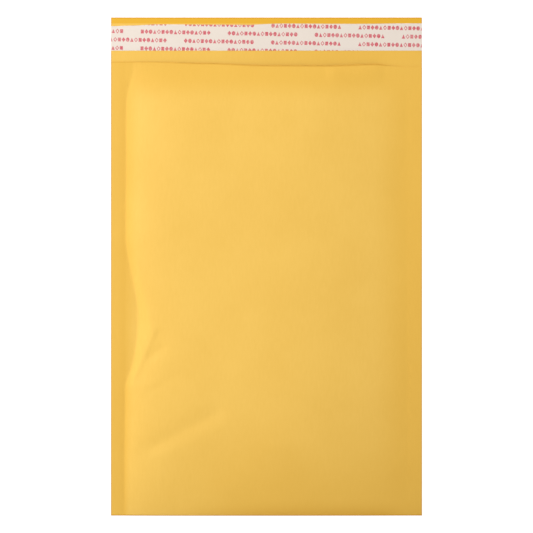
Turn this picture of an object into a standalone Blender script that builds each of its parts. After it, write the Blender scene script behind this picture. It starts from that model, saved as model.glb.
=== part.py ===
"""Padded envelope: a kraft paper pouch lined with bubble film, with a peel-and-seal flap.

Blender 4.5 script, metres, +Z up. The empty envelope lies on its back with its flap open.
X runs across the pouch, +Y points from the bottom fold towards the flap, and z = 0 is the
surface that it lies on. The origin is on that surface, under the middle of the envelope.

A place along the pouch is given as its run: the distance from the bottom fold's outer edge.
"""

import math

import bmesh
import bpy

MM = 0.001

# Outer sizes.
WIDTH = 240 * MM
POUCH = 350 * MM  # bottom fold to the flap's root, along the back panel
FLAP = 34.5 * MM  # flap's root to its free edge
LENGTH = POUCH + FLAP
BOTTOM_Y = -LENGTH / 2
SEAM = 11 * MM  # width of each pressed side seam

# Stock.
PAPER = 0.16 * MM  # kraft paper of 100 g per square metre
BUBBLES = 2.0 * MM  # bubble film, flat film to the crowns of its bubbles
WELD = 0.3 * MM  # both layers of film, crushed and fused in a seam
GLUE = 0.1 * MM
RELEASE_PAPER = 0.08 * MM
GAP = 0.3 * MM  # kept between pieces that touch, and between the two layers of the lining

# Heights of the front panel's outer face above the resting surface.
SEAM_HEIGHT = 2 * PAPER + 2 * GAP + WELD
FOLD_HEIGHT = 3.4 * MM
CROWN_HEIGHT = 10.6 * MM
MOUTH_DIP = 2.8 * MM  # how far the front panel sinks again by the time it reaches the mouth
RISE_RUN = 120 * MM  # the front panel climbs from the fold to its full height over this run
DIP_RUN = 230 * MM  # and starts to sink towards the mouth here

# Ends of the pieces along the pouch.
MOUTH_RUN = 347.5 * MM  # the front panel ends a little short of the flap's root
LINING_START = 1.3 * MM
LINING_END = 335 * MM  # the film stops short of the mouth, and plain paper goes on
HOLLOW_START = 6 * MM  # the lining's own fold lies below this run
HOLLOW_HALF_WIDTH = 106.5 * MM
LINING_INSET = 0.5 * MM

# Closure on the flap, measured from the flap's free edge.
RELEASE_MARGIN = 4.6 * MM
RELEASE_WIDTH = 21 * MM
GLUE_WIDTH = 15 * MM
GLUE_INSET = 2 * MM  # bare paper beyond each end of the glue

# Shape of the panel: a flat-topped arch between the seams, and its rise and dip lengthways.
ARCH_POWER = 6.0
ARCH_ROOT = 0.5
RISE_POWER = 2.2
DIP_POWER = 9.0

FOLD_STEPS = 6
HALF_ACROSS_STEPS = 9
FRONT_STEPS = 16


def arch(x):
    """Height of the cross-section at x, from 0 in the seams to 1 in the middle."""
    share = min(1.0, abs(x) / (WIDTH / 2 - SEAM))
    return (1 - share**ARCH_POWER) ** ARCH_ROOT


def spine(run):
    """Height of the front panel along the envelope's middle line."""
    climbed = 1 - (1 - min(1.0, run / RISE_RUN)) ** RISE_POWER
    sunk = max(0.0, (run - DIP_RUN) / (MOUTH_RUN - DIP_RUN)) ** DIP_POWER
    return FOLD_HEIGHT + (CROWN_HEIGHT - FOLD_HEIGHT) * climbed - MOUTH_DIP * sunk


def front_height(x, run):
    """Height of the front panel's outer face."""
    return SEAM_HEIGHT + (spine(run) - SEAM_HEIGHT) * arch(x)


def lining_top(x, run):
    """Height of the lining's outer face, kept clear of the paper where that is steep too."""
    return front_height(abs(x) + GAP, run) - PAPER - GAP


def lining_bottom(_x, _run):
    return PAPER + GAP


def layer_thickness(x, run):
    """One layer of bubble film: full, or crushed where the pouch is too thin for both."""
    room = lining_top(x, run) - lining_bottom(x, run) - GAP
    return min(BUBBLES, room / 2)


def hollow_top(x, run):
    return lining_top(x, run) - layer_thickness(x, run)


def hollow_bottom(x, run):
    return lining_bottom(x, run) + layer_thickness(x, run)


def across_stations(half_width, seam_line):
    """Places across the envelope, closer together where the arch is steep."""
    half = []
    for step in range(HALF_ACROSS_STEPS + 1):
        turn = math.pi / 2 * step / HALF_ACROSS_STEPS
        half.append(seam_line * math.sin(turn))
    if half_width > seam_line:
        half.append(half_width)
    return [-x for x in reversed(half[1:])] + half


def along_stations(start, end):
    """Runs from start to end, closer together near the bottom fold and the mouth."""
    stations = []
    for step in range(FRONT_STEPS + 1):
        eased = (1 - math.cos(math.pi * step / FRONT_STEPS)) / 2
        share = 0.5 * step / FRONT_STEPS + 0.5 * eased
        stations.append(start + (end - start) * share)
    return stations


def sheet_path(x):
    """Points (y, z) along the paper's outer face, from the flap's edge round to the mouth."""
    radius = front_height(x, 0.0) / 2
    back = [
        (-BOTTOM_Y, 0.0),
        (BOTTOM_Y + POUCH, 0.0),
        (BOTTOM_Y + POUCH / 2, 0.0),
        (BOTTOM_Y + 2 * FOLD_HEIGHT, 0.0),
    ]
    fold = []
    for step in range(FOLD_STEPS):
        turn = math.pi * step / FOLD_STEPS
        y = BOTTOM_Y + radius - radius * math.sin(turn)
        fold.append((y, radius - radius * math.cos(turn)))
    front = []
    for run in along_stations(radius, MOUTH_RUN):
        front.append((BOTTOM_Y + run, front_height(x, run)))
    return back + fold + front


def new_object(name, mesh, collection):
    """Writes a bmesh to a new object in the collection."""
    data = bpy.data.meshes.new(name)
    mesh.to_mesh(data)
    mesh.free()
    obj = bpy.data.objects.new(name, data)
    collection.objects.link(obj)
    return obj


def grid(across, along):
    """A flat bmesh grid, and a list of its vertices with their station numbers."""
    mesh = bmesh.new()
    columns = len(across) - 1
    rows = len(along) - 1
    bmesh.ops.create_grid(mesh, x_segments=columns, y_segments=rows, size=1)
    numbered = []
    for vert in mesh.verts:
        column = round((vert.co.x + 1) / 2 * columns)
        row = round((vert.co.y + 1) / 2 * rows)
        numbered.append((vert, column, row))
    return mesh, numbered


def slab(name, across, runs, underside, topside, collection):
    """A closed body over a rectangle of stations, between two height functions."""
    mesh, numbered = grid(across, runs)
    for vert, column, row in numbered:
        vert.co = (across[column], runs[row], 0.0)
    raised = bmesh.ops.extrude_face_region(mesh, geom=mesh.faces[:], use_keep_orig=True)
    upper = {item for item in raised["geom"] if isinstance(item, bmesh.types.BMVert)}
    for vert in mesh.verts:
        x, run = vert.co.x, vert.co.y
        height = topside if vert in upper else underside
        vert.co = (x, BOTTOM_Y + run, height(x, run))
    bmesh.ops.recalc_face_normals(mesh, faces=mesh.faces[:])
    return new_object(name, mesh, collection)


def strip(name, length, width, thickness, height, collection):
    """A flat strip across the flap, centred on the closure's middle line."""
    mesh = bmesh.new()
    bmesh.ops.create_cube(mesh, size=1)
    bmesh.ops.scale(mesh, vec=(length, width, thickness), verts=mesh.verts[:])
    obj = new_object(name, mesh, collection)
    middle = -BOTTOM_Y - RELEASE_MARGIN - RELEASE_WIDTH / 2
    obj.location = (0.0, middle, height + thickness / 2)
    return obj


def material(name, colour, roughness, metallic=0.0, alpha=1.0):
    """A Principled material of one colour (linear red, green, blue)."""
    made = bpy.data.materials.new(name)
    made.use_nodes = True
    shader = made.node_tree.nodes["Principled BSDF"]
    shader.inputs["Base Color"].default_value = (*colour, 1.0)
    shader.inputs["Roughness"].default_value = roughness
    shader.inputs["Metallic"].default_value = metallic
    shader.inputs["Alpha"].default_value = alpha
    return made


def kraft_cover(collection):
    """The paper: back panel, flap and front panel, one sheet folded at the bottom."""
    across = across_stations(WIDTH / 2, WIDTH / 2 - SEAM)
    rows = len(sheet_path(0.0))
    mesh, numbered = grid(across, range(rows))
    paths = [sheet_path(x) for x in across]
    for vert, column, row in numbered:
        y, z = paths[column][row]
        vert.co = (across[column], y, z)
    obj = new_object("kraft_cover", mesh, collection)
    wall = obj.modifiers.new("paper", "SOLIDIFY")
    wall.thickness = PAPER
    wall.offset = -1.0
    wall.use_even_offset = True
    obj.data.materials.append(material("golden_kraft", (0.80, 0.45, 0.09), 0.55))
    return obj


def bubble_lining(collection, cutters):
    """The bubble film: one web folded at the bottom and fused along both side seams."""
    seam_line = WIDTH / 2 - SEAM
    across = across_stations(WIDTH / 2 - LINING_INSET, seam_line)
    runs = along_stations(LINING_START, LINING_END)
    obj = slab("bubble_lining", across, runs, lining_bottom, lining_top, collection)
    across = across_stations(HOLLOW_HALF_WIDTH, HOLLOW_HALF_WIDTH)
    runs = along_stations(HOLLOW_START, LINING_END + HOLLOW_START)
    hollow = slab("pouch_hollow", across, runs, hollow_bottom, hollow_top, cutters)
    hollow.hide_render = True
    hollow.display_type = "WIRE"
    cut = obj.modifiers.new("pouch", "BOOLEAN")
    cut.operation = "DIFFERENCE"
    cut.solver = "EXACT"
    cut.object = hollow
    film = material("polyethylene_film", (0.85, 0.87, 0.88), 0.2, alpha=0.6)
    obj.data.materials.append(film)
    return obj


def closure(collection):
    """The glue strip on the flap and the release paper that covers it."""
    glue_height = PAPER + GAP
    glue_length = WIDTH - 2 * GLUE_INSET
    glue = strip("glue_strip", glue_length, GLUE_WIDTH, GLUE, glue_height, collection)
    glue.data.materials.append(material("hot_melt_glue", (0.75, 0.66, 0.42), 0.3))
    paper_height = glue_height + GLUE + GAP
    cover = strip(
        "release_paper", WIDTH, RELEASE_WIDTH, RELEASE_PAPER, paper_height, collection
    )
    cover.data.materials.append(material("siliconised_paper", (0.86, 0.82, 0.79), 0.35))
    return glue, cover


def new_collection(name):
    made = bpy.data.collections.new(name)
    bpy.context.scene.collection.children.link(made)
    return made


def main():
    for obj in list(bpy.data.objects):
        bpy.data.objects.remove(obj)
    envelope = new_collection("padded_envelope")
    cutters = new_collection("cutters")
    kraft_cover(envelope)
    bubble_lining(envelope, cutters)
    closure(envelope)


main()
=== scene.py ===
"""Looks for the padded envelope: its paper, lining, closure, and a plain studio.

Everything is in metres in the frame's own axes: X across from seam to seam, +Y from the bottom
fold towards the flap's edge, +Z up. A place along the pouch is a run, its distance from the
bottom fold's outer edge.
"""

import logging
import math
from dataclasses import dataclass
from enum import Enum

import bmesh
import bpy
from mathutils import Matrix, Vector, noise


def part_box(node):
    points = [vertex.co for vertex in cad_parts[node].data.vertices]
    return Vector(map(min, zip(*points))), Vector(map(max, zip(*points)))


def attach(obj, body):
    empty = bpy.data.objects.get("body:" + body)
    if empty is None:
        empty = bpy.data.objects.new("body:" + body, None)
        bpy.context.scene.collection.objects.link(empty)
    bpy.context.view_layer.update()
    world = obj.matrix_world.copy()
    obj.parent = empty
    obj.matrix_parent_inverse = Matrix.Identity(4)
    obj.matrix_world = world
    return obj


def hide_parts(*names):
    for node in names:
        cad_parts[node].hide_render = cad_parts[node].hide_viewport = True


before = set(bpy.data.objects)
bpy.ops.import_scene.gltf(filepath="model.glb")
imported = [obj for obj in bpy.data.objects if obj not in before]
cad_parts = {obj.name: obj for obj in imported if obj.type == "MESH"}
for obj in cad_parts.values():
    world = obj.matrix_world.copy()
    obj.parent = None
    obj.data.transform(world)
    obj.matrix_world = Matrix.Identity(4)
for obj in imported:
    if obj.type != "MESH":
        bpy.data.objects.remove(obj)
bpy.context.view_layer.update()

MM = 0.001

SLACK_ROOM = 0.9 * MM  # kept free under the solid's top for creases and slack paper
FLAP_TO_MOUTH = 36.8 * MM  # from the flap's edge to the front panel's cut edge
log = logging.getLogger("padded_envelope")


class Slot(Enum):
    """Names of the four material slots."""

    KRAFT = "kraft_paper"
    FILM = "bubble_film"
    GLUE = "hot_melt_glue"
    RELEASE = "release_paper"


# ----------------------------------------------------------------------------------- helpers


def ease(value: float) -> float:
    """Turns 0 to 1 into 0 to 1 with level ends, and holds the ends outside that range.

    Args:
        value: Any number.

    Returns:
        The eased value, from 0 to 1.
    """
    held = min(1.0, max(0.0, value))
    return held * held * (3 - 2 * held)


def through(points: tuple[tuple[float, float], ...], place: float) -> float:
    """Reads a smooth line that passes through a few points.

    Args:
        points: (place, value) pairs, in rising order of place.
        place: Where to read it.

    Returns:
        The value there, held beyond both ends.
    """
    if place <= points[0][0]:
        return points[0][1]
    for (low, start), (high, end) in zip(points, points[1:]):
        if place <= high:
            return start + (end - start) * ease((place - low) / (high - low))
    return points[-1][1]


def stations(stretches: tuple[tuple[float, float, int], ...]) -> list[float]:
    """Lists places along a line, closer together where a stretch has more steps.

    Args:
        stretches: (start, end, steps) of each stretch, each starting where the last ended.

    Returns:
        The places in order.
    """
    places = [stretches[0][0]]
    for start, end, steps in stretches:
        for step in range(1, steps + 1):
            places.append(start + (end - start) * step / steps)
    return places


def linear(hex_colour: str) -> tuple[float, float, float, float]:
    """Turns an sRGB hex colour into a linear one with full alpha.

    Args:
        hex_colour: Such as "#f7c75e".

    Returns:
        Linear red, green, blue and an alpha of 1.
    """
    channels = []
    for start in (1, 3, 5):
        value = int(hex_colour[start : start + 2], 16) / 255
        channels.append(value / 12.92 if value <= 0.04045 else ((value + 0.055) / 1.055) ** 2.4)
    return (channels[0], channels[1], channels[2], 1.0)


def add_node(
    tree: bpy.types.NodeTree,
    kind: str,
    settings: dict[str, object] | None = None,
    inputs: dict[int | str, object] | None = None,
) -> bpy.types.Node:
    """Adds a shader node.

    Args:
        tree: The material's or world's node tree.
        kind: The node's type, without the word ShaderNode.
        settings: The node's own properties by name.
        inputs: By socket name or number, a value to set or an output to link.

    Returns:
        The new node.
    """
    node = tree.nodes.new("ShaderNode" + kind)
    for name, value in (settings or {}).items():
        setattr(node, name, value)
    for socket, value in (inputs or {}).items():
        if isinstance(value, bpy.types.NodeSocket):
            tree.links.new(value, node.inputs[socket])
        else:
            node.inputs[socket].default_value = value
    return node


def start_material(name: str) -> tuple[bpy.types.Material, bpy.types.NodeTree]:
    """Makes an empty node material.

    Args:
        name: The material's name.

    Returns:
        The material and its node tree, which is empty.
    """
    material = bpy.data.materials.new(name)
    material.use_nodes = True
    tree = material.node_tree
    tree.nodes.clear()
    return material, tree


def to_object(
    mesh: bmesh.types.BMesh, name: str, material: bpy.types.Material
) -> bpy.types.Object:
    """Writes a bmesh to a new smooth-shaded object at the origin.

    Args:
        mesh: The bmesh, which is freed.
        name: The object's name.
        material: The material it wears.

    Returns:
        The new object, linked to the scene.
    """
    data = bpy.data.meshes.new(name)
    mesh.to_mesh(data)
    mesh.free()
    data.shade_smooth()
    data.materials.append(material)
    obj = bpy.data.objects.new(name, data)
    bpy.context.scene.collection.objects.link(obj)
    return obj


def thicken(obj: bpy.types.Object, thickness: float) -> None:
    """Gives an open sheet its thickness, inwards from its outer face, and crisp cut edges.

    Args:
        obj: The sheet's object, whose mesh is replaced by the thick one.
        thickness: In metres.
    """
    wall = obj.modifiers.new("thickness", "SOLIDIFY")
    wall.thickness = thickness
    wall.offset = -1.0
    wall.use_even_offset = True
    graph = bpy.context.evaluated_depsgraph_get()
    thick = bpy.data.meshes.new_from_object(obj.evaluated_get(graph))
    obj.modifiers.clear()
    obj.data = thick
    thick.set_sharp_from_angle(angle=math.radians(50))


# -------------------------------------------------------------------------------- the pouch


@dataclass(frozen=True)
class Crease:
    """A long mark that handling has left in the paper, fading towards both ends.

    Attributes:
        start: Its first end, as (x, run).
        end: Its other end.
        rise: Height of its middle line, negative where it is pressed in.
        left: How far it spreads to the left of the way from start to end.
        right: How far it spreads to the right of that way.
    """

    start: tuple[float, float]
    end: tuple[float, float]
    rise: float
    left: float
    right: float

    ROUNDING = 0.3  # share of its spread over which the crest is rounded
    FADE = 5.5  # it fades over one part in this many at each end

    def height(self, x: float, run: float) -> float:
        """Height that the crease adds at a place.

        Args:
            x: Place across the envelope.
            run: Place along it.

        Returns:
            The added height, in metres.
        """
        way_x = self.end[0] - self.start[0]
        way_y = self.end[1] - self.start[1]
        length = math.hypot(way_x, way_y)
        from_x = x - self.start[0]
        from_y = run - self.start[1]
        along = (from_x * way_x + from_y * way_y) / length**2
        if not 0 < along < 1:
            return 0.0
        aside = (from_x * way_y - from_y * way_x) / length
        spread = self.right if aside > 0 else self.left
        away = math.hypot(aside / spread, self.ROUNDING) - self.ROUNDING
        fade = ease(self.FADE * min(along, 1 - along))
        return self.rise * math.exp(-away * away - away) * fade


@dataclass
class Pouch:
    """The form that the cover and the lining share.

    Attributes:
        half_width: From the middle to a side edge.
        bottom: Y of the bottom fold's outer edge.
        length: From the bottom fold to the flap's edge.
        crown: Greatest height of the front panel.
        mouth_middle: Usual run of the front panel's cut edge.
        seam: Width of a side seam.
        seam_height: Height of the front panel over a pressed seam.
        fold_height: Height of the bottom fold.
        lip_height: Height of the front panel at the mouth.
        lip_length: Stretch over which the front panel sinks towards the mouth.
        rise_length: Stretch over which it climbs from the bottom fold.
    """

    half_width: float
    bottom: float
    length: float
    crown: float
    mouth_middle: float
    seam: float = 11 * MM
    seam_height: float = 0.56 * MM
    fold_height: float = 2.4 * MM
    lip_height: float = 1.9 * MM
    lip_length: float = 80 * MM
    rise_length: float = 68 * MM

    # The pad stands up steeply at the left seam and slopes gently down to the right one. Each
    # side's arch, and the rise from the bottom fold, is (1 - share ** first power) ** second.
    LEFT_ARCH = (6.5, 0.88)
    RIGHT_ARCH = (2.2, 1.3)
    RISE = (1.9, 0.7)
    MARGIN = 6 * MM  # creases and slackness fade out over this much inside the pad's foot

    # The drop towards the mouth is a power of how far the lip's stretch has run, and goes on a
    # little past its end.
    LIP_POWER = 2.6
    LIP_REACH = 1.1

    # The front panel's cut edge isn't quite straight: (x, how far it is past its usual run).
    MOUTH_LINE = (
        (-95 * MM, 2.5 * MM),
        (-50 * MM, 1.4 * MM),
        (5 * MM, -0.4 * MM),
        (50 * MM, -0.5 * MM),
        (84 * MM, 0.7 * MM),
        (106 * MM, -1.5 * MM),
    )

    # The left foot leans: how far it is outside the seam's line at the bottom and the mouth.
    LEAN_START = 0.5 * MM
    LEAN_END = -1.2 * MM

    # It turns further inwards where the pad runs out at the mouth.
    MOUTH_PINCH = 5 * MM
    PINCH_LENGTH = 30 * MM

    # A blow to the left seam pushed the pad's foot inwards over this stretch.
    DENT_RUN = 155 * MM
    DENT_DEPTH = 9.5 * MM
    DENT_UP = 62 * MM
    DENT_DOWN = 54 * MM
    DENT_POWER = 2.5

    # Both webs share these places across the pad, closest together up its steep left side, so
    # that they bend alike and the film stays under the paper: (start, end, steps).
    PAD_STRETCHES = ((-110 * MM, -82 * MM, 31), (-82 * MM, 88 * MM, 74))

    # Marks left by handling, mostly in the thin lower third.
    CREASES = (
        Crease((-102 * MM, 46 * MM), (-27 * MM, 86 * MM), -0.95 * MM, 9 * MM, 6 * MM),
        Crease((-93 * MM, 40 * MM), (-22 * MM, 74 * MM), 0.4 * MM, 7 * MM, 10 * MM),
        Crease((-96 * MM, 92 * MM), (-64 * MM, 112 * MM), -0.3 * MM, 4 * MM, 5 * MM),
        Crease((-56 * MM, 136 * MM), (-24 * MM, 112 * MM), -0.2 * MM, 8 * MM, 8 * MM),
        Crease((-44 * MM, 14 * MM), (22 * MM, 62 * MM), 0.35 * MM, 8 * MM, 10 * MM),
        Crease((-83 * MM, 20 * MM), (-78 * MM, 52 * MM), 0.15 * MM, 2.5 * MM, 2.5 * MM),
        Crease((-73 * MM, 22 * MM), (-70 * MM, 48 * MM), 0.1 * MM, 2.5 * MM, 2.5 * MM),
        Crease((93 * MM, 42 * MM), (108 * MM, 52 * MM), -0.25 * MM, 4 * MM, 4 * MM),
        Crease((-104 * MM, 202 * MM), (-86 * MM, 136 * MM), 0.9 * MM, 9 * MM, 3 * MM),
        Crease((-84 * MM, 148 * MM), (-105 * MM, 100 * MM), 0.8 * MM, 3 * MM, 9 * MM),
        Crease((-93 * MM, 120 * MM), (-76 * MM, 133 * MM), -0.6 * MM, 4 * MM, 4 * MM),
        Crease((44 * MM, 342 * MM), (92 * MM, 343 * MM), 1.0 * MM, 9 * MM, 9 * MM),
    )

    def mouth(self, x: float) -> float:
        """Run of the front panel's cut edge at x."""
        return self.mouth_middle + through(self.MOUTH_LINE, x)

    def pad_edge(self, x: float, run: float) -> float:
        """Distance from the middle to the pad's foot, on the side that x is on.

        Args:
            x: Place across the envelope, of which only the side counts.
            run: Place along it.

        Returns:
            The distance, less than the seam's inner edge where the dent is.
        """
        foot = self.half_width - self.seam
        if x > 0:
            return foot
        foot += self.LEAN_START + (self.LEAN_END - self.LEAN_START) * run / self.mouth_middle
        foot -= self.MOUTH_PINCH * ease(1 - (self.mouth_middle - run) / self.PINCH_LENGTH)
        past = run - self.DENT_RUN
        if past > 0:
            return foot - self.DENT_DEPTH * ease(1 - past / self.DENT_UP)
        share = min(1.0, -past / self.DENT_DOWN)
        return foot - self.DENT_DEPTH * (1 - share**self.DENT_POWER)

    def spine(self, run: float) -> float:
        """Height of the front panel along the middle line."""
        left = 1 - min(1.0, max(0.0, run / self.rise_length))
        broad, root = self.RISE
        height = self.fold_height + (self.crown - self.fold_height) * (1 - left**broad) ** root
        lip = (run - self.mouth_middle + self.lip_length) / self.lip_length
        drop = min(self.LIP_REACH, max(0.0, lip)) ** self.LIP_POWER
        return height - (self.crown - self.lip_height) * drop

    def front(self, x: float, run: float) -> float:
        """Height of the front panel's outer face.

        Args:
            x: Place across the envelope.
            run: Place along it.

        Returns:
            The height above the resting surface.
        """
        edge = self.pad_edge(x, run)
        share = min(1.0, abs(x) / edge)
        broad, root = self.LEFT_ARCH if x < 0 else self.RIGHT_ARCH
        arch = (1 - share**broad) ** root
        height = self.seam_height + (self.spine(run) - self.seam_height) * arch
        on_pad = ease((edge - abs(x)) / self.MARGIN)
        marks = sum(crease.height(x, run) for crease in self.CREASES)
        return height + on_pad * (marks + self.slackness(x, run))

    def slackness(self, x: float, run: float) -> float:
        """The slight unevenness of paper over soft film.

        Args:
            x: Place across the envelope.
            run: Place along it.

        Returns:
            The height that it adds, above or below 0.
        """
        broad = noise.noise(Vector((x / (55 * MM), run / (75 * MM), 3.7)))
        close = noise.noise(Vector((x / (16 * MM), run / (24 * MM), 8.1)))
        return 0.35 * MM * broad + 0.05 * MM * close

    def web_path(
        self, x: float, inset: float, back_end: float, front_end: float, rows: "WebRows"
    ) -> list["WebPoint"]:
        """Path of a folded web at x, from the back's end round the bottom fold to the front's.

        Args:
            x: Place across the envelope.
            inset: How far the web's outer face lies inside the envelope's.
            back_end: Run at which the web ends on the back.
            front_end: Run at which it ends on the front.
            rows: How many steps each stretch of the path has.

        Returns:
            The path's points in order.
        """
        half = max(self.front(x, 0.0) / 2, inset + 0.02 * MM)
        radius = half - inset
        path = []
        for step in range(rows.back):
            run = back_end + (half - back_end) * step / rows.back
            path.append(WebPoint(Face.BACK, run, inset))
        for step in range(rows.fold):
            turn = math.pi * step / rows.fold
            run = half - radius * math.sin(turn)
            path.append(WebPoint(Face.FOLD, run, half - radius * math.cos(turn)))
        for step in range(rows.front + 1):
            run = half + (front_end - half) * step / rows.front
            height = max(self.front(x, run) - inset, inset + 0.02 * MM)
            path.append(WebPoint(Face.FRONT, run, height))
        return path


class Face(Enum):
    """The stretches of a folded web."""

    BACK = 0
    FOLD = 1
    FRONT = 2


@dataclass(frozen=True)
class WebPoint:
    """A point on a folded web's path: its stretch, its run, and its height."""

    face: Face
    run: float
    height: float


@dataclass(frozen=True)
class WebRows:
    """Steps along a folded web's path: over its back, round its fold, and over its front."""

    back: int
    fold: int
    front: int


def folded_web(
    pouch: Pouch, across: list[float], inset: float, ends: tuple, rows: WebRows, tones: dict
) -> bmesh.types.BMesh:
    """Lays a grid along a folded web's path.

    Args:
        pouch: The form that it follows.
        across: Places across the envelope, from left to right.
        inset: How far its outer face lies inside the envelope's.
        ends: Functions of x for the runs at which its back and front end.
        rows: Steps along its path.
        tones: By attribute name, a function of x and the path's point that gives its value.

    Returns:
        The open sheet, with its faces pointing out of the pouch.
    """
    paths = []
    for x in across:
        paths.append(pouch.web_path(x, inset, ends[0](x), ends[1](x), rows))
    columns = len(across) - 1
    steps = len(paths[0]) - 1
    mesh = bmesh.new()
    bmesh.ops.create_grid(mesh, x_segments=columns, y_segments=steps, size=1)
    layers = {name: mesh.verts.layers.float.new(name) for name in tones}
    for vert in mesh.verts:
        column = round((vert.co.x + 1) / 2 * columns)
        step = round((vert.co.y + 1) / 2 * steps)
        point = paths[column][step]
        vert.co = (across[column], pouch.bottom + point.run, point.height)
        for name, tone in tones.items():
            vert[layers[name]] = tone(across[column], point)
    return mesh


# ------------------------------------------------------------------------------- materials


@dataclass(frozen=True)
class GoldenKraft:
    """Machine-glazed golden kraft paper, dyed in the pulp.

    It is matt with a soft sheen. Its long fibres lie mostly along the web and show as a faint
    streaky mottle, and it is deeper in colour where it is coated beside the release paper.

    Attributes:
        bare: Colour of the paper on its own.
        lined_and_painted_light: Colour over the air cells, lighter partly because the white of the
            bubble film shows through it and partly as painted sheen.
        painted_shade: Darker colour of the painted shade at the bottom fold's middle and right and
            of the painted shadow beside the left seam.
        fibre: Colour of the denser streaks.
        coated: Colour of the coated edge band.
        dark_edge_and_shade: Darker colour along the cut edges; at the bottom fold it is painted
            shade, and along the front panel's cut edge it is a painted shadow line.
        fibre_mm: Width of a streak, drawn coarser than a real fibre so that it shows.
        cloud_mm: Size of the broad cloudiness in the sheet.
        roughness: Of the surface.
    """

    bare: str = "#dfb04a"
    lined_and_painted_light: str = "#e5b957"
    painted_shade: str = "#c8942e"
    fibre: str = "#d3a23c"
    coated: str = "#dba62c"
    dark_edge_and_shade: str = "#b97a12"
    fibre_mm: float = 1.6
    cloud_mm: float = 42.0
    roughness: float = 0.6

    def build(
        self, band_start: float, top: float, bottom: float, side: float
    ) -> bpy.types.Material:
        """Makes the material.

        Args:
            band_start: Y from which the flap's coated band runs to its edge.
            top: Y of the flap's cut edge.
            bottom: Y of the bottom fold.
            side: X of the right side edge.

        Returns:
            The material.
        """
        material, tree = start_material("golden_kraft_paper")
        place = add_node(tree, "TexCoord").outputs["Object"]
        stretch = add_node(tree, "Mapping", inputs={"Vector": place, "Scale": (1.0, 0.22, 1.0)})
        streaks = add_node(
            tree,
            "TexNoise",
            inputs={
                "Vector": stretch.outputs[0],
                "Scale": 1 / (self.fibre_mm * MM),
                "Detail": 5.0,
                "Roughness": 0.6,
            },
        )
        clouds = add_node(
            tree,
            "TexNoise",
            inputs={"Vector": place, "Scale": 1 / (self.cloud_mm * MM), "Detail": 2.0},
        )
        mottle = add_node(
            tree,
            "Math",
            {"operation": "MULTIPLY_ADD"},
            {0: streaks.outputs["Fac"], 1: 0.75, 2: clouds.outputs["Fac"]},
        )
        shade = add_node(
            tree,
            "MapRange",
            inputs={"Value": mottle.outputs[0], "From Min": 0.6, "From Max": 1.3, "To Max": 0.3},
        )
        colour = linear(self.bare)
        # Over the air cells the paper is lighter, partly painted sheen; the second tone is darker,
        # painted shade at the bottom fold and a painted shadow beside the left seam.
        for name, tone in (("lined_and_painted_light", self.lined_and_painted_light), ("painted_shade", self.painted_shade)):
            mask = add_node(tree, "Attribute", {"attribute_name": name})
            toned = add_node(
                tree,
                "Mix",
                {"data_type": "RGBA"},
                {0: mask.outputs["Fac"], 6: colour, 7: linear(tone)},
            )
            colour = toned.outputs[2]
        paper = add_node(
            tree,
            "Mix",
            {"data_type": "RGBA"},
            {0: shade.outputs[0], 6: colour, 7: linear(self.fibre)},
        )
        axes = add_node(tree, "SeparateXYZ", inputs={0: place})
        band = add_node(
            tree,
            "MapRange",
            inputs={
                "Value": axes.outputs["Y"],
                "From Min": band_start - 0.3 * MM,
                "From Max": band_start + 0.3 * MM,
            },
        )
        banded = add_node(
            tree,
            "Mix",
            {"data_type": "RGBA"},
            {0: band.outputs[0], 6: paper.outputs[2], 7: linear(self.coated)},
        )
        across = add_node(tree, "Math", {"operation": "ABSOLUTE"}, {0: axes.outputs["X"]})
        # Darker along the flap's cut edge and the side edges; the darkening at the bottom fold is
        # painted shade.
        edges = [
            (axes.outputs["Y"], top - 1.2 * MM, top - 0.2 * MM, 0.5),
            (axes.outputs["Y"], bottom + 1.1 * MM, bottom + 0.2 * MM, 0.75),
            (across.outputs[0], side - 0.9 * MM, side - 0.1 * MM, 0.6),
        ]
        # A painted shadow line along the front panel's cut edge, standing in for the shade in the
        # gap under it.
        to_mouth = add_node(tree, "Attribute", {"attribute_name": "to_mouth"}).outputs["Fac"]
        edges.append((to_mouth, 1.3, 0.3, 0.5))
        colour = banded.outputs[2]
        for value, start, end, strength in edges:
            edge_darkening = add_node(
                tree,
                "MapRange",
                inputs={"Value": value, "From Min": start, "From Max": end, "To Max": strength},
            )
            edged = add_node(
                tree,
                "Mix",
                {"data_type": "RGBA"},
                {0: edge_darkening.outputs[0], 6: colour, 7: linear(self.dark_edge_and_shade)},
            )
            colour = edged.outputs[2]
        bump = add_node(
            tree,
            "Bump",
            inputs={"Height": streaks.outputs["Fac"], "Strength": 0.12, "Distance": 0.05 * MM},
        )
        shader = add_node(
            tree,
            "BsdfPrincipled",
            inputs={
                "Base Color": colour,
                "Roughness": self.roughness,
                "Specular IOR Level": 0.16,
                "Sheen Weight": 0.05,
                "Normal": bump.outputs[0],
            },
        )
        add_node(tree, "OutputMaterial", inputs={"Surface": shader.outputs[0]})
        return material


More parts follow.
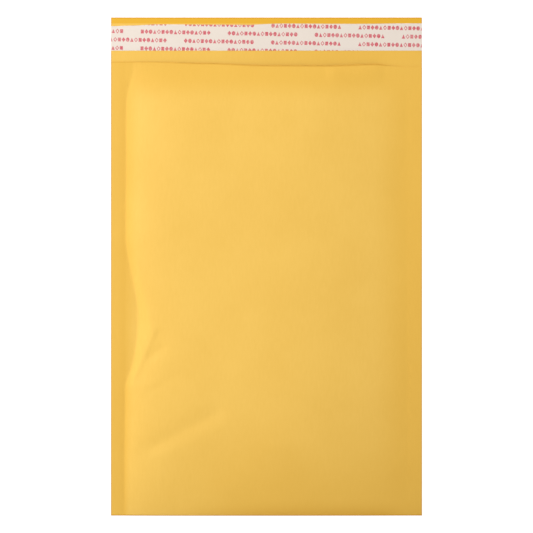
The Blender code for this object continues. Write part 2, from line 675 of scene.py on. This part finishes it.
@dataclass(frozen=True)
class SiliconisedPaper:
    """Thin white release paper with a silicone coat, printed in one red.

    The coat makes it smoother than the kraft. The print is a running pattern of small plain
    shapes: diamonds, discs, squares and triangles in staggered blocks, which slope a little
    across the strip.

    Attributes:
        paper: Colour of the bare paper.
        ink: Colour of the print.
        slope_deg: How far the rows turn from the strip's own direction.
        row_mm: From one row to the next.
        mark_mm: Height of a mark.
        pitch_mm: From one mark to the next.
        block_marks: Marks in a block.
        gap_marks: Places left bare between two blocks.
        stagger_marks: How far every second row is moved along.
        shift_mm: Where the pattern starts, from the strip's middle.
        least_cover: Share of the paper that the ink covers where it has taken worst.
    """

    paper: str = "#dacec2"
    ink: str = "#c4505c"
    slope_deg: float = -1.1
    row_mm: float = 6.5
    mark_mm: float = 3.8
    pitch_mm: float = 3.2
    block_marks: int = 17
    gap_marks: int = 4
    stagger_marks: float = 10.5
    shift_mm: tuple[float, float] = (-30.3, -0.3)
    least_cover: float = 0.62

    def build(self, middle: tuple[float, float]) -> bpy.types.Material:
        """Makes the material.

        Args:
            middle: X and Y of the strip's middle.

        Returns:
            The material.
        """
        material, tree = start_material("siliconised_release_paper")

        def math_node(operation: str, *values: object) -> bpy.types.NodeSocket:
            """Adds a Math node for the operation and gives its output."""
            inputs = dict(enumerate(values))
            return add_node(tree, "Math", {"operation": operation}, inputs).outputs[0]

        start = (middle[0] + self.shift_mm[0] * MM, middle[1] + self.shift_mm[1] * MM)
        place = add_node(tree, "TexCoord").outputs["Object"]
        turned = add_node(
            tree,
            "Mapping",
            {"vector_type": "TEXTURE"},
            {
                "Vector": place,
                "Location": (*start, 0.0),
                "Rotation": (0.0, 0.0, math.radians(self.slope_deg)),
            },
        )
        axes = add_node(tree, "SeparateXYZ", inputs={0: turned.outputs[0]})
        up = math_node("DIVIDE", axes.outputs["Y"], self.row_mm * MM)
        row = math_node("FLOOR", up)
        up_mm = math_node("MULTIPLY", math_node("FRACT", up), self.row_mm)
        stagger = math_node("MULTIPLY", math_node("PINGPONG", row, 1.0), self.stagger_marks)
        along_row = math_node("DIVIDE", axes.outputs["X"], self.pitch_mm * MM)
        along = math_node("ADD", along_row, stagger)
        cell = math_node("FLOOR", along)
        period = float(self.block_marks + self.gap_marks)
        place_in_period = math_node("WRAP", cell, period, 0.0)
        in_block = math_node("LESS_THAN", place_in_period, self.block_marks - 0.5)
        across_mm = math_node("MULTIPLY", math_node("FRACT", along), self.pitch_mm)
        kind = math_node("WRAP", cell, 5.0, 0.0)
        side = math_node("ABSOLUTE", math_node("SUBTRACT", across_mm, self.pitch_mm / 2))
        height = math_node("ABSOLUTE", math_node("SUBTRACT", up_mm, self.row_mm / 2))
        half = self.mark_mm / 2
        rise = math_node("SUBTRACT", up_mm, self.row_mm / 2)
        slant = math_node("ADD", math_node("MULTIPLY", side, 1.25), height)
        wide = math_node("MAXIMUM", math_node("MULTIPLY", side, 1.25), height)
        round_x = math_node("POWER", math_node("MULTIPLY", side, 1.2), 2.0)
        far = math_node("SQRT", math_node("ADD", round_x, math_node("POWER", height, 2.0)))
        under = math_node("MULTIPLY", math_node("SUBTRACT", 0.85 * half, rise), 0.42)
        diamond = math_node("LESS_THAN", slant, half)
        disc = math_node("LESS_THAN", far, 0.88 * half)
        square = math_node("LESS_THAN", wide, 0.78 * half)
        open_diamond = math_node("COMPARE", slant, half - 0.45, 0.45)
        slope = math_node("LESS_THAN", side, under)
        triangle = math_node("MULTIPLY", slope, math_node("LESS_THAN", height, 0.85 * half))
        printed = 0.0
        for turn, shape in enumerate((diamond, disc, triangle, open_diamond, square)):
            shown = math_node("MULTIPLY", shape, math_node("COMPARE", kind, float(turn), 0.4))
            printed = math_node("MAXIMUM", printed, shown)
        printed = math_node("MULTIPLY", printed, in_block)
        tooth = add_node(tree, "TexNoise", inputs={"Vector": place, "Scale": 900.0, "Detail": 3.0})
        cover = add_node(
            tree,
            "MapRange",
            inputs={
                "Value": tooth.outputs["Fac"],
                "From Min": 0.3,
                "From Max": 0.6,
                "To Min": self.least_cover,
                "To Max": 1.0,
            },
        )
        colour = add_node(
            tree,
            "Mix",
            {"data_type": "RGBA"},
            {
                0: math_node("MULTIPLY", printed, cover.outputs[0]),
                6: linear(self.paper),
                7: linear(self.ink),
            },
        )
        bump = add_node(
            tree,
            "Bump",
            inputs={"Height": tooth.outputs["Fac"], "Strength": 0.1, "Distance": 0.02 * MM},
        )
        shader = add_node(
            tree,
            "BsdfPrincipled",
            inputs={
                "Base Color": colour.outputs[2],
                "Roughness": 0.32,
                "Normal": bump.outputs[0],
            },
        )
        add_node(tree, "OutputMaterial", inputs={"Surface": shader.outputs[0]})
        return material


@dataclass(frozen=True)
class BubbleFilm:
    """Clear low-density polyethylene film, blown thin, with a slight milky haze."""

    colour: str = "#e9eef0"
    roughness: float = 0.16
    see_through: float = 0.45

    def build(self) -> bpy.types.Material:
        """Makes the material."""
        material, tree = start_material("polyethylene_bubble_film")
        place = add_node(tree, "TexCoord").outputs["Object"]
        haze = add_node(tree, "TexNoise", inputs={"Vector": place, "Scale": 60.0, "Detail": 4.0})
        tint = add_node(
            tree,
            "Mix",
            {"data_type": "RGBA"},
            {0: haze.outputs["Fac"], 6: linear(self.colour), 7: linear("#dfe6ea")},
        )
        shader = add_node(
            tree,
            "BsdfPrincipled",
            inputs={
                "Base Color": tint.outputs[2],
                "Roughness": self.roughness,
                "IOR": 1.51,
                "Alpha": 1 - self.see_through,
            },
        )
        add_node(tree, "OutputMaterial", inputs={"Surface": shader.outputs[0]})
        return material


@dataclass(frozen=True)
class HotMelt:
    """Pressure-sensitive hot-melt glue: straw-coloured, glossy and slightly uneven."""

    colour: str = "#d9c48a"
    roughness: float = 0.2
    grain_mm: float = 2.2

    def build(self) -> bpy.types.Material:
        """Makes the material."""
        material, tree = start_material("hot_melt_adhesive")
        place = add_node(tree, "TexCoord").outputs["Object"]
        lumps = add_node(
            tree, "TexNoise", inputs={"Vector": place, "Scale": 1 / (self.grain_mm * MM)}
        )
        tint = add_node(
            tree,
            "Mix",
            {"data_type": "RGBA"},
            {0: lumps.outputs["Fac"], 6: linear(self.colour), 7: linear("#c9b070")},
        )
        bump = add_node(
            tree,
            "Bump",
            inputs={"Height": lumps.outputs["Fac"], "Strength": 0.4, "Distance": 0.05 * MM},
        )
        shader = add_node(
            tree,
            "BsdfPrincipled",
            inputs={
                "Base Color": tint.outputs[2],
                "Roughness": self.roughness,
                "Normal": bump.outputs[0],
            },
        )
        add_node(tree, "OutputMaterial", inputs={"Surface": shader.outputs[0]})
        return material


# --------------------------------------------------------------------------- the envelope


@dataclass
class KraftCover:
    """The paper: one sheet folded at the bottom, glued to the lining, with its flap open.

    Attributes:
        pouch: The form that it takes.
        lining_end: Run at which the lining behind it stops.
        thickness: Of the paper.
        bottom_shade_length: Stretch above the bottom fold over which the paper is painted darker,
            painted shade that is strongest in the middle and right.
        fold_shade_length: Stretch above it over which the bottom fold's painted shade lies.
        rows: Steps along the folded sheet.
    """

    pouch: Pouch
    lining_end: float
    thickness: float = 0.16 * MM
    bottom_shade_length: float = 90 * MM
    fold_shade_length: float = 14 * MM
    rows: WebRows = WebRows(back=24, fold=8, front=210)

    # Greatest value of each tone: the painted light at the flap's root, how much of the backing's
    # lightness the painted shade towards the bottom takes away, the painted shade at the bottom
    # fold, and the painted shadow beside the left seam.
    FLAP_PAINTED_LIGHT = 0.65
    BOTTOM_SHADE_SHARE = 0.9
    FOLD_SHADE = 0.8
    FOOT_SHADOW = 0.1

    def across(self) -> list[float]:
        """Places across the sheet, closest together up the pad's steep left side."""
        edge = self.pouch.half_width
        pad = self.pouch.PAD_STRETCHES
        return stations(((-edge, pad[0][0], 7), *pad, (pad[-1][1], edge, 18)))

    def lined_and_painted_light(self, x: float, point: WebPoint) -> float:
        """How much the paper is lightened, partly by the bubble film behind it and partly as
        painted sheen.

        Args:
            x: Place across the envelope.
            point: Point on the sheet's path.

        Returns:
            1 over the air cells, falling to 0 in the seams and past the lining's end, and lower
            towards the bottom, most in the middle and right, which is painted shade. The flap's
            root is painted nearly as pale on the left, which is painted light.
        """
        # Painted light: the flap's root beside the mouth is painted paler, most on the left.
        if point.face is Face.BACK and point.run > self.pouch.mouth(x):
            return self.FLAP_PAINTED_LIGHT * ease((50 * MM - x) / (90 * MM))
        fade = 5 * MM + 0.03 * point.run if x < 0 else 30 * MM
        short_of_seam = ease((self.pouch.half_width - self.pouch.seam - abs(x) + 1 * MM) / fade)
        short_of_end = ease((self.lining_end + 4 * MM - point.run) / (22 * MM))
        # Painted shade: the paper is darker towards the bottom, most in the middle and right.
        bottom_shade = 1 - ease(point.run / self.bottom_shade_length)
        rightwards = ease((x + 110 * MM) / (110 * MM))
        return short_of_seam * short_of_end * (1 - self.BOTTOM_SHADE_SHARE * bottom_shade * rightwards)

    def painted_shade(self, x: float, point: WebPoint) -> float:
        """How much painted shade deepens the paper's colour.

        Args:
            x: Place across the envelope.
            point: Point on the sheet's path.

        Returns:
            Most at the bottom fold's middle and right, which is painted shade, a little along the
            left seam's inner line below the mouth, which is a painted shadow there, and 0
            elsewhere.
        """
        # Painted shade at the bottom fold, most in its middle and right.
        near_fold = max(0.0, 1 - point.run / self.fold_shade_length)
        fold_shade = self.FOLD_SHADE * near_fold**2 * ease((x + 100 * MM) / (120 * MM))
        fold_shade *= 1 - 0.6 * ease((x - 85 * MM) / (25 * MM))
        if x > 0 or point.run > self.pouch.mouth(x):
            return fold_shade
        # Painted shadow along the left seam's inner line, beside the pad's foot.
        past_foot = abs(x) - self.pouch.half_width + self.pouch.seam
        beside_foot = ease((past_foot + 1 * MM) / (1.5 * MM)) * ease((7 * MM - past_foot) / (5 * MM))
        return max(fold_shade, self.FOOT_SHADOW * beside_foot)

    def to_mouth(self, x: float, point: WebPoint) -> float:
        """Distance short of the front panel's cut edge, in millimetres.

        Args:
            x: Place across the envelope.
            point: Point on the sheet's path.

        Returns:
            The distance on the front panel, and the whole pouch's length elsewhere.
        """
        if point.face is Face.FRONT:
            # The painted shadow line along the mouth fades towards the right seam and a little
            # towards the left.
            side = 1.2 * ease((x - 88 * MM) / (14 * MM)) + 0.4 * ease((-50 * MM - x) / (30 * MM))
            return (self.pouch.mouth(x) - point.run) / MM + side
        return self.pouch.length / MM

    def build(self, paper: bpy.types.Material) -> bpy.types.Object:
        """Makes the sheet.

        Args:
            paper: Its material.

        Returns:
            The finished piece.
        """
        pouch = self.pouch
        ends = (lambda x: pouch.length, pouch.mouth)
        tones = {"lined_and_painted_light": self.lined_and_painted_light, "painted_shade": self.painted_shade, "to_mouth": self.to_mouth}
        mesh = folded_web(pouch, self.across(), 0.0, ends, self.rows, tones)
        obj = to_object(mesh, "folded_kraft_sheet", paper)
        thicken(obj, self.thickness)
        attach(obj, "root")
        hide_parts("kraft_cover")
        return obj


@dataclass
class BubbleLining:
    """The bubble film: a flat web folded with the paper, and the air cells on its inner face.

    Attributes:
        pouch: The form that it follows.
        end: Run at which the film stops, short of the mouth.
        inset: From the envelope's outer face to the film's.
        film: Thickness of the film.
        pitch: From one cell to the next in a row.
        cell_radius: Of a cell's foot.
        cell_height: Of a cell with room to stand.
        least_height: A cell lower than this has burst in the seam or fold, and is left out.
    """

    pouch: Pouch
    end: float
    inset: float = 0.22 * MM
    film: float = 0.07 * MM
    pitch: float = 11.2 * MM
    cell_radius: float = 4.8 * MM
    cell_height: float = 2.0 * MM
    least_height: float = 0.5 * MM

    SHORT_OF_EDGE = 0.6 * MM  # the web ends this far inside the paper's side edges
    SIDES = 12
    RIM_SAMPLES = 8
    SHARE_OF_ROOM = 0.46  # of the pouch's height that one layer's cells may fill

    def build_web(self, film: bpy.types.Material) -> bpy.types.Object:
        """Makes the flat web.

        Args:
            film: Its material.

        Returns:
            The finished piece.
        """
        edge = self.pouch.half_width - self.SHORT_OF_EDGE
        pad = self.pouch.PAD_STRETCHES
        across = stations(((-edge, pad[0][0], 3), *pad, (pad[-1][1], edge, 12)))
        ends = (lambda x: self.end, lambda x: self.end)
        rows = WebRows(back=16, fold=6, front=180)
        mesh = folded_web(self.pouch, across, self.inset, ends, rows, {})
        obj = to_object(mesh, "lining_film", film)
        thicken(obj, self.film)
        self.place(obj)
        return obj

    def build_cells(self, film: bpy.types.Material) -> bpy.types.Object:
        """Makes the air cells of both layers.

        Args:
            film: Their material.

        Returns:
            The finished piece.
        """
        mesh = bmesh.new()
        bmesh.ops.create_cone(
            mesh, cap_ends=True, segments=self.SIDES, radius1=1.0, radius2=0.86, depth=1.0
        )
        bmesh.ops.translate(mesh, vec=(0, 0, 0.5), verts=mesh.verts[:])
        rim = [e for e in mesh.edges if all(v.co.z > 0.9 for v in e.verts)]
        bmesh.ops.bevel(
            mesh, geom=rim, offset=0.36, segments=2, profile=0.5, affect="EDGES", material=-1
        )
        cell = mesh.verts[:] + mesh.edges[:] + mesh.faces[:]
        for matrix in self.cell_places():
            copy = bmesh.ops.duplicate(mesh, geom=cell)["geom"]
            verts = [item for item in copy if isinstance(item, bmesh.types.BMVert)]
            bmesh.ops.transform(mesh, matrix=matrix, verts=verts)
        bmesh.ops.delete(mesh, geom=[v for v in cell if isinstance(v, bmesh.types.BMVert)])
        obj = to_object(mesh, "lining_air_cells", film)
        obj.data.set_sharp_from_angle(angle=math.radians(60))
        self.place(obj)
        return obj

    def cell_places(self) -> list[Matrix]:
        """Where each cell stands, as the matrix that places a cell of unit size."""
        places = []
        row_pitch = self.pitch * math.sqrt(3) / 2
        reach = self.pouch.half_width - self.pouch.seam - self.cell_radius
        columns = int(reach / self.pitch)
        for row in range(1, int((self.end - self.cell_radius) / row_pitch) + 1):
            run = row * row_pitch
            shift = self.pitch / 2 if row % 2 else 0.0
            for column in range(-columns, columns + 1):
                x = column * self.pitch + shift
                if abs(x) < reach:
                    places.extend(self.cell_pair(x, run))
        return places

    def cell_pair(self, x: float, run: float) -> list[Matrix]:
        """Places of the front and back layers' cells at one point.

        Args:
            x: Place across the envelope.
            run: Place along it.

        Returns:
            Both matrices, or none where the pouch is too thin there.
        """
        depth = self.inset + self.film
        step = 0.5 * MM
        middle = self.pouch.front(x, run)
        slope_x = (self.pouch.front(x + step, run) - self.pouch.front(x - step, run)) / (2 * step)
        slope_y = (self.pouch.front(x, run + step) - self.pouch.front(x, run - step)) / (2 * step)
        sunk = 0.0
        lowest = middle
        for sample in range(self.RIM_SAMPLES):
            turn = math.tau * sample / self.RIM_SAMPLES
            dx = self.cell_radius * math.cos(turn)
            dy = self.cell_radius * math.sin(turn)
            height = self.pouch.front(x + dx, run + dy)
            sunk = min(sunk, height - (middle + slope_x * dx + slope_y * dy))
            lowest = min(lowest, height)
        room = lowest + sunk - 2 * depth
        tall = min(self.cell_height, self.SHARE_OF_ROOM * room)
        if tall < self.least_height:
            return []
        size = Matrix.Diagonal((self.cell_radius, self.cell_radius, tall, 1.0))
        inwards = Vector((slope_x, slope_y, -1.0)).normalized()
        tilt = inwards.to_track_quat("Z", "Y").to_matrix().to_4x4()
        y = self.pouch.bottom + run
        front = Matrix.Translation((x, y, middle + sunk - depth)) @ tilt @ size
        back = Matrix.Translation((x, y, depth)) @ size
        return [front, back]

    def place(self, obj: bpy.types.Object) -> None:
        """Ties a piece of the lining to the frame."""
        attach(obj, "root")
        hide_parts("bubble_lining")


@dataclass
class Closure:
    """The glue on the flap and the release paper over it.

    Attributes:
        glue_box: Corners of the glue's solid in the frame.
        paper_box: Corners of the release paper's solid in the frame.
        glue_height: Thickness of the glue.
        flap: Height of the flap's upper face.
    """

    glue_box: tuple[Vector, Vector]
    paper_box: tuple[Vector, Vector]
    glue_height: float = 0.14 * MM
    flap: float = 0.17 * MM

    RIBS = 5
    RIB_HEIGHT = 0.03 * MM
    CLEARANCE = 0.1 * MM  # from the glue's mean height to the release paper

    # The release paper's upper edge was slit a little unevenly: (x, how far it stops short).
    SLIT_LINE = (
        (-119 * MM, 2.1 * MM),
        (-104 * MM, 1.7 * MM),
        (-84 * MM, 0.8 * MM),
        (-30 * MM, 1.0 * MM),
        (-15 * MM, 1.1 * MM),
        (10 * MM, 0.2 * MM),
        (70 * MM, 0.4 * MM),
        (110 * MM, 0.0),
    )

    def build_glue(self, glue: bpy.types.Material) -> bpy.types.Object:
        """Makes the glue strip, with the low ribs that its nozzle leaves.

        Args:
            glue: Its material.

        Returns:
            The finished piece.
        """
        low, high = self.glue_box
        mesh = bmesh.new()
        bmesh.ops.create_grid(mesh, x_segments=60, y_segments=40, size=1)
        raised = bmesh.ops.extrude_face_region(mesh, geom=mesh.faces[:], use_keep_orig=True)
        upper = {item for item in raised["geom"] if isinstance(item, bmesh.types.BMVert)}
        for vert in mesh.verts:
            across = (vert.co.x + 1) / 2
            along = (vert.co.y + 1) / 2
            ribs = self.RIB_HEIGHT * math.cos(math.tau * self.RIBS * along)
            taper = min(1.0, 12 * min(along, 1 - along), 60 * min(across, 1 - across))
            top = self.flap + 0.02 * MM + (self.glue_height + ribs) * taper
            x = low.x + (high.x - low.x) * across
            y = low.y + (high.y - low.y) * along
            vert.co = (x, y, top if vert in upper else self.flap)
        bmesh.ops.recalc_face_normals(mesh, faces=mesh.faces[:])
        obj = to_object(mesh, "hot_melt_strip", glue)
        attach(obj, "root")
        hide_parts("glue_strip")
        return obj

    def build_paper(self, paper: bpy.types.Material) -> bpy.types.Object:
        """Makes the release paper, which lies on the glue and droops beyond it.

        Args:
            paper: Its material.

        Returns:
            The finished piece.
        """
        low, high = self.paper_box
        bare = self.glue_box[0].y - low.y
        mesh = bmesh.new()
        bmesh.ops.create_grid(mesh, x_segments=160, y_segments=28, size=1)
        for vert in mesh.verts:
            x = low.x + (high.x - low.x) * (vert.co.x + 1) / 2
            upper = high.y - through(self.SLIT_LINE, x)
            y = low.y + (upper - low.y) * (vert.co.y + 1) / 2
            rest = min(y - low.y, upper - y) / bare
            wave = 0.08 * MM * noise.noise(Vector((x / (14 * MM), y / (30 * MM), 5.2)))
            lift = self.glue_height + self.CLEARANCE + wave
            z = self.flap + self.CLEARANCE + lift * ease(0.15 + 0.85 * rest)
            vert.co = (x, y, z)
        obj = to_object(mesh, "release_strip", paper)
        thicken(obj, 0.08 * MM)
        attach(obj, "root")
        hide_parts("release_paper")
        return obj


# -------------------------------------------------------------------------------- the studio


@dataclass(frozen=True)
class SnootedLamp:
    """A lamp in a wide snoot, whose light falls off softly towards the rim of its pool.

    Attributes:
        place: Where it stands.
        aim: The middle of its pool of light.
        cone_deg: Whole angle of its cone.
        softness: Share of the cone over which the light falls off.
        radius: Of the lamp's front glass.
        power: In watts.
    """

    place: tuple[float, float, float]
    aim: tuple[float, float, float]
    cone_deg: float
    softness: float
    radius: float
    power: float

    def build(self) -> bpy.types.Object:
        """Adds the lamp."""
        data = bpy.data.lights.new("snooted_lamp", "SPOT")
        data.spot_size = math.radians(self.cone_deg)
        data.spot_blend = self.softness
        data.shadow_soft_size = self.radius
        data.energy = self.power
        lamp = bpy.data.objects.new("snooted_lamp", data)
        way = Vector(self.aim) - Vector(self.place)
        lamp.location = self.place
        lamp.rotation_euler = way.to_track_quat("-Z", "Y").to_euler()
        bpy.context.scene.collection.objects.link(lamp)
        return lamp


@dataclass
class Studio:
    """A pale light table inside a low white screen, a lamp at the upper left, and the camera.

    Attributes:
        lens_mm: The camera's focal length.
        view_width: What the camera takes in across, at the table.
        sky: Brightness of the even light from all round.
        opal: Colour of the table's acrylic.
        white: Colour of the screen's acrylic.
        table_glow: Brightness of the light behind the table.
        screen_glow: Brightness of the light behind the screen.
        screen_radius: Of the round screen, and of the table inside it.
        screen_height: Of the screen.
    """

    lens_mm: float = 135.0
    view_width: float = 0.4115
    sky: float = 0.6
    opal: str = "#a0a0a0"
    white: str = "#f6f6f6"
    table_glow: float = 0.82
    screen_glow: float = 0.9
    screen_radius: float = 4.0
    screen_height: float = 1.0

    LAMP = SnootedLamp(
        place=(-0.84, 0.41, 1.26),
        aim=(-0.247, 0.204, 0.0),
        cone_deg=43.2,
        softness=0.63,
        radius=0.09,
        power=61.5,
    )

    def build(self) -> None:
        """Adds everything."""
        self.build_table()
        self.build_world()
        self.LAMP.build()
        self.build_camera()

    def glowing_acrylic(self, name: str, colour: str, glow: float) -> bpy.types.Material:
        """Makes matt acrylic with light behind it, as on a light table.

        Args:
            name: The material's name.
            colour: Of the acrylic.
            glow: Its own brightness.

        Returns:
            The material.
        """
        material, tree = start_material(name)
        shader = add_node(
            tree,
            "BsdfPrincipled",
            inputs={
                "Base Color": linear(colour),
                "Roughness": 0.7,
                "Emission Color": (1.0, 1.0, 1.0, 1.0),
                "Emission Strength": glow,
            },
        )
        add_node(tree, "OutputMaterial", inputs={"Surface": shader.outputs[0]})
        return material

    def build_table(self) -> None:
        """Adds the table and the low white screen that stands round it."""
        table = bmesh.new()
        bmesh.ops.create_circle(table, cap_ends=True, segments=64, radius=self.screen_radius)
        bmesh.ops.translate(table, vec=(0, 0, -0.02 * MM), verts=table.verts[:])
        screen = bmesh.new()
        bmesh.ops.create_cone(
            screen,
            cap_ends=False,
            segments=64,
            radius1=self.screen_radius,
            radius2=self.screen_radius,
            depth=self.screen_height,
        )
        bmesh.ops.translate(screen, vec=(0, 0, self.screen_height / 2), verts=screen.verts[:])
        bmesh.ops.reverse_faces(screen, faces=screen.faces[:])
        acrylic = self.glowing_acrylic("opal_light_table", self.opal, self.table_glow)
        to_object(table, "light_table", acrylic)
        acrylic = self.glowing_acrylic("white_screen", self.white, self.screen_glow)
        to_object(screen, "screen", acrylic)

    def build_world(self) -> None:
        """Adds the even light from all round."""
        world = bpy.data.worlds.new("studio")
        world.use_nodes = True
        world.node_tree.nodes.clear()
        light = add_node(
            world.node_tree,
            "Background",
            inputs={"Color": (1.0, 1.0, 1.0, 1.0), "Strength": self.sky},
        )
        add_node(world.node_tree, "OutputWorld", inputs={"Surface": light.outputs[0]})
        bpy.context.scene.world = world
        bpy.context.scene.view_settings.view_transform = "Standard"

    def build_camera(self) -> None:
        """Adds the camera, straight above the middle of the envelope."""
        data = bpy.data.cameras.new("camera")
        data.lens = self.lens_mm
        camera = bpy.data.objects.new("camera", data)
        height = self.view_width * self.lens_mm / data.sensor_width
        camera.location = (0.0, 0.0, height)
        bpy.context.scene.collection.objects.link(camera)
        bpy.context.scene.camera = camera


def main() -> None:
    """Builds the envelope's pieces and the studio."""
    logging.basicConfig(level=logging.INFO, format="%(name)s: %(message)s")
    cover_low, cover_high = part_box("kraft_cover")
    lining_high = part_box("bubble_lining")[1]
    paper_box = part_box("release_paper")
    pouch = Pouch(
        half_width=cover_high.x,
        bottom=cover_low.y,
        length=cover_high.y - cover_low.y,
        crown=cover_high.z - SLACK_ROOM,
        mouth_middle=cover_high.y - cover_low.y - FLAP_TO_MOUTH,
    )
    kraft = GoldenKraft().build(paper_box[1].y, cover_high.y, cover_low.y, cover_high.x)
    film = BubbleFilm().build()
    lining_end = lining_high.y - cover_low.y
    lining = BubbleLining(pouch, lining_end)
    closure = Closure(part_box("glue_strip"), paper_box)
    middle = (paper_box[0] + paper_box[1]) / 2
    release = SiliconisedPaper().build((middle.x, middle.y))
    pieces = [
        KraftCover(pouch, lining_end).build(kraft),
        lining.build_web(film),
        lining.build_cells(film),
        closure.build_glue(HotMelt().build()),
        closure.build_paper(release),
    ]
    for piece in pieces:
        log.info("%s: %d faces", piece.name, len(piece.data.polygons))
    Studio().build()


if __name__ == "__main__":
    main()
